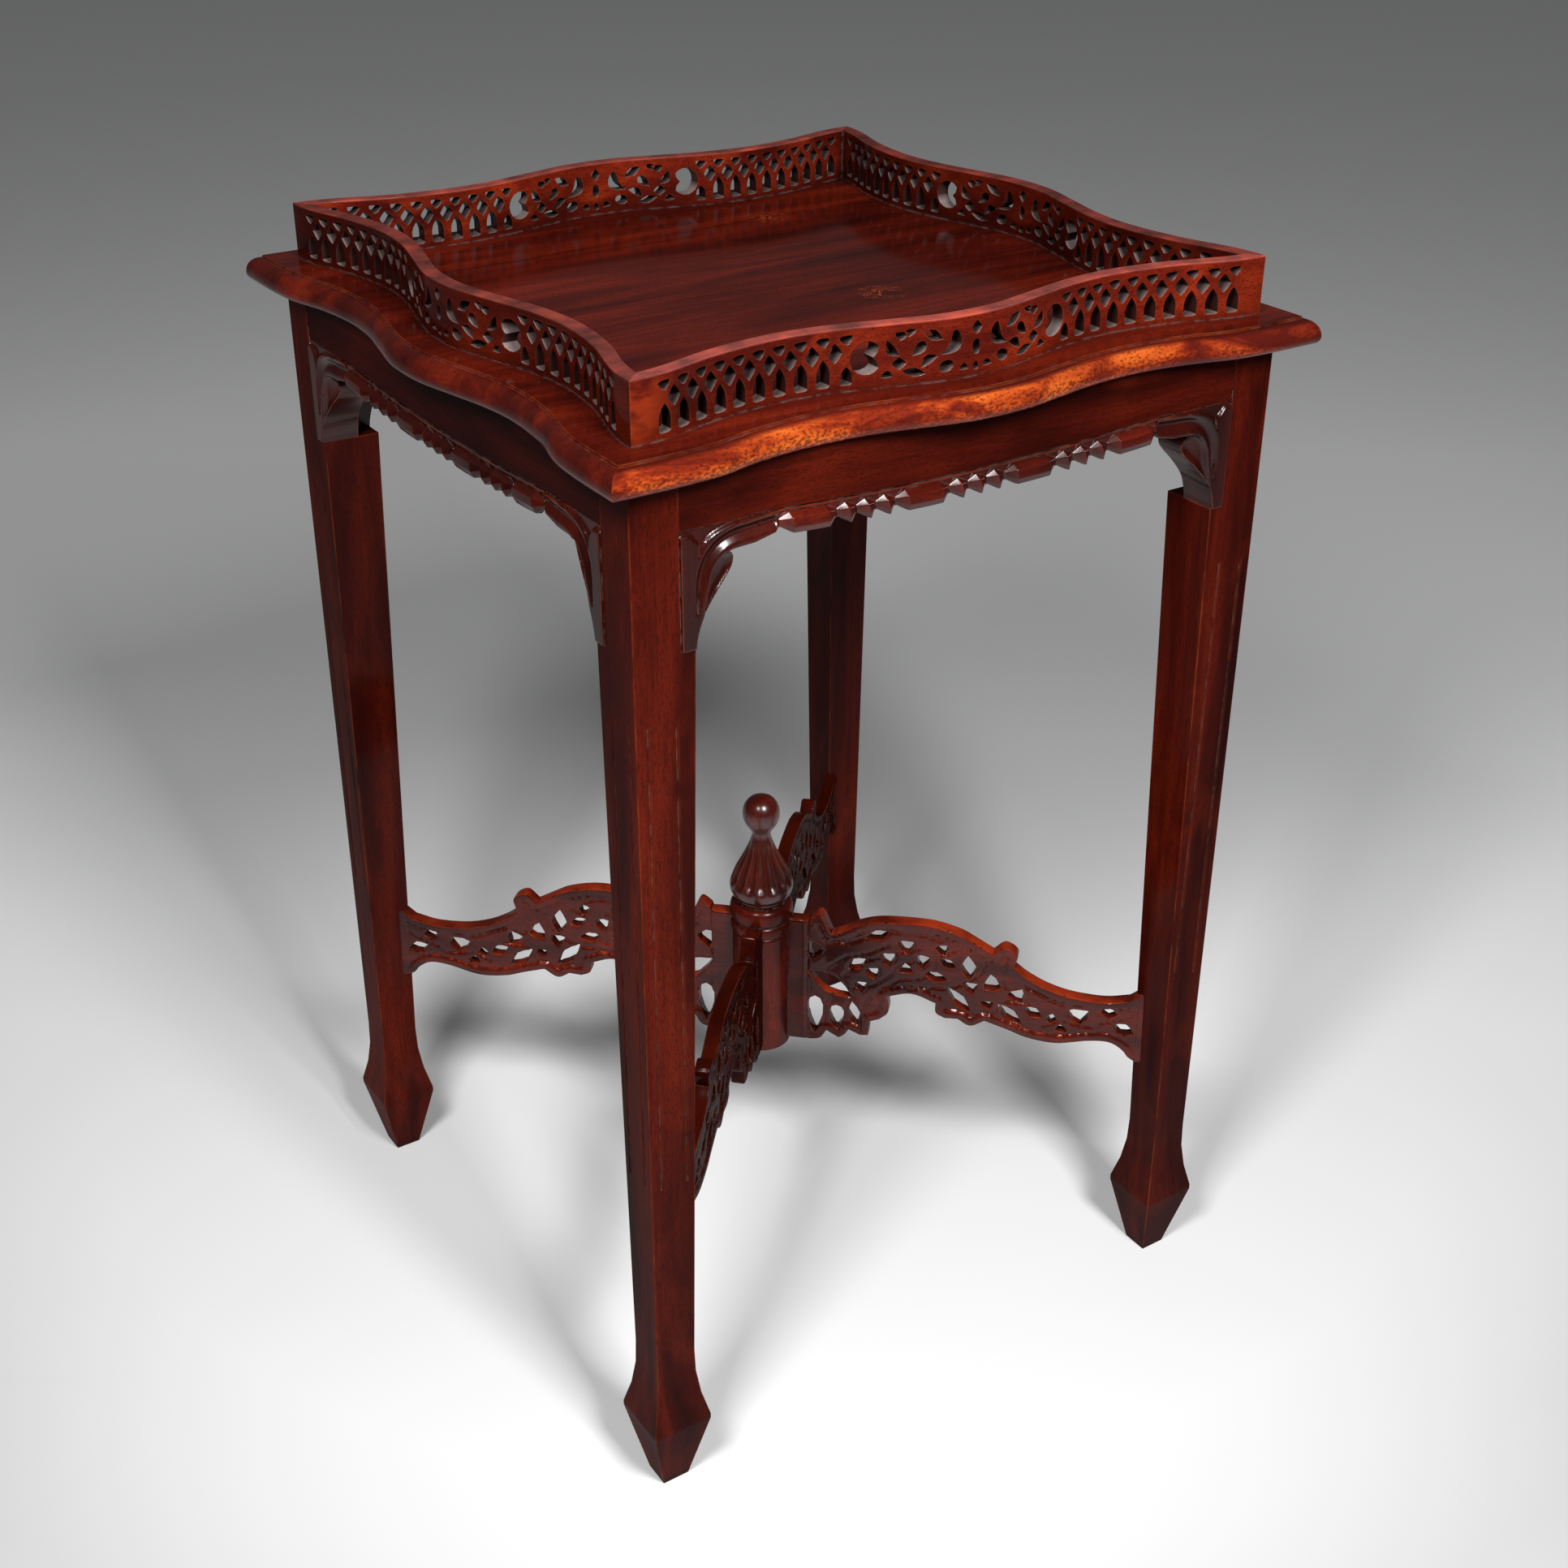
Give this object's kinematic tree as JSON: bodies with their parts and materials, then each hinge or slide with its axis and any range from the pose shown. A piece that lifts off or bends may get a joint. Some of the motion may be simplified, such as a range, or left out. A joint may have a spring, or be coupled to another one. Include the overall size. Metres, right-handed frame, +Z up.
{
  "type": "occasional table",
  "caption": "Square wooden silver table with a serpentine moulded top, pierced tray gallery, spade-footed legs and an arched pierced stretcher with a turned finial.",
  "frame": {"origin": "centre of the footprint at the level of the floor", "axes": "+Z up; -Y towards the front side; +X to the right of someone facing the front"},
  "size_m": [0.468, 0.468, 0.72],
  "materials": {
    "mahogany": "dark red-brown mahogany under a worn glossy polish",
    "pine": "unpolished softwood, darkened with age"
  },
  "bodies": {
    "root": {"top_panel": "mahogany", "glue_blocks": "pine", "stretcher_hub": "mahogany", "finial": "mahogany", "gallery_front": "mahogany", "apron_front": "mahogany", "carved_rail_front": "mahogany", "bracket_front_left": "mahogany", "bracket_front_right": "mahogany", "gallery_right": "mahogany", "apron_right": "mahogany", "carved_rail_right": "mahogany", "bracket_right_front": "mahogany", "bracket_right_back": "mahogany", "gallery_back": "mahogany", "apron_back": "mahogany", "carved_rail_back": "mahogany", "bracket_back_right": "mahogany", "bracket_back_left": "mahogany", "gallery_left": "mahogany", "apron_left": "mahogany", "carved_rail_left": "mahogany", "bracket_left_back": "mahogany", "bracket_left_front": "mahogany", "leg_front_left": "mahogany", "stretcher_arm_front_left": "mahogany", "leg_front_right": "mahogany", "stretcher_arm_front_right": "mahogany", "leg_back_right": "mahogany", "stretcher_arm_back_right": "mahogany", "leg_back_left": "mahogany", "stretcher_arm_back_left": "mahogany"}
  },
  "joints": []
}
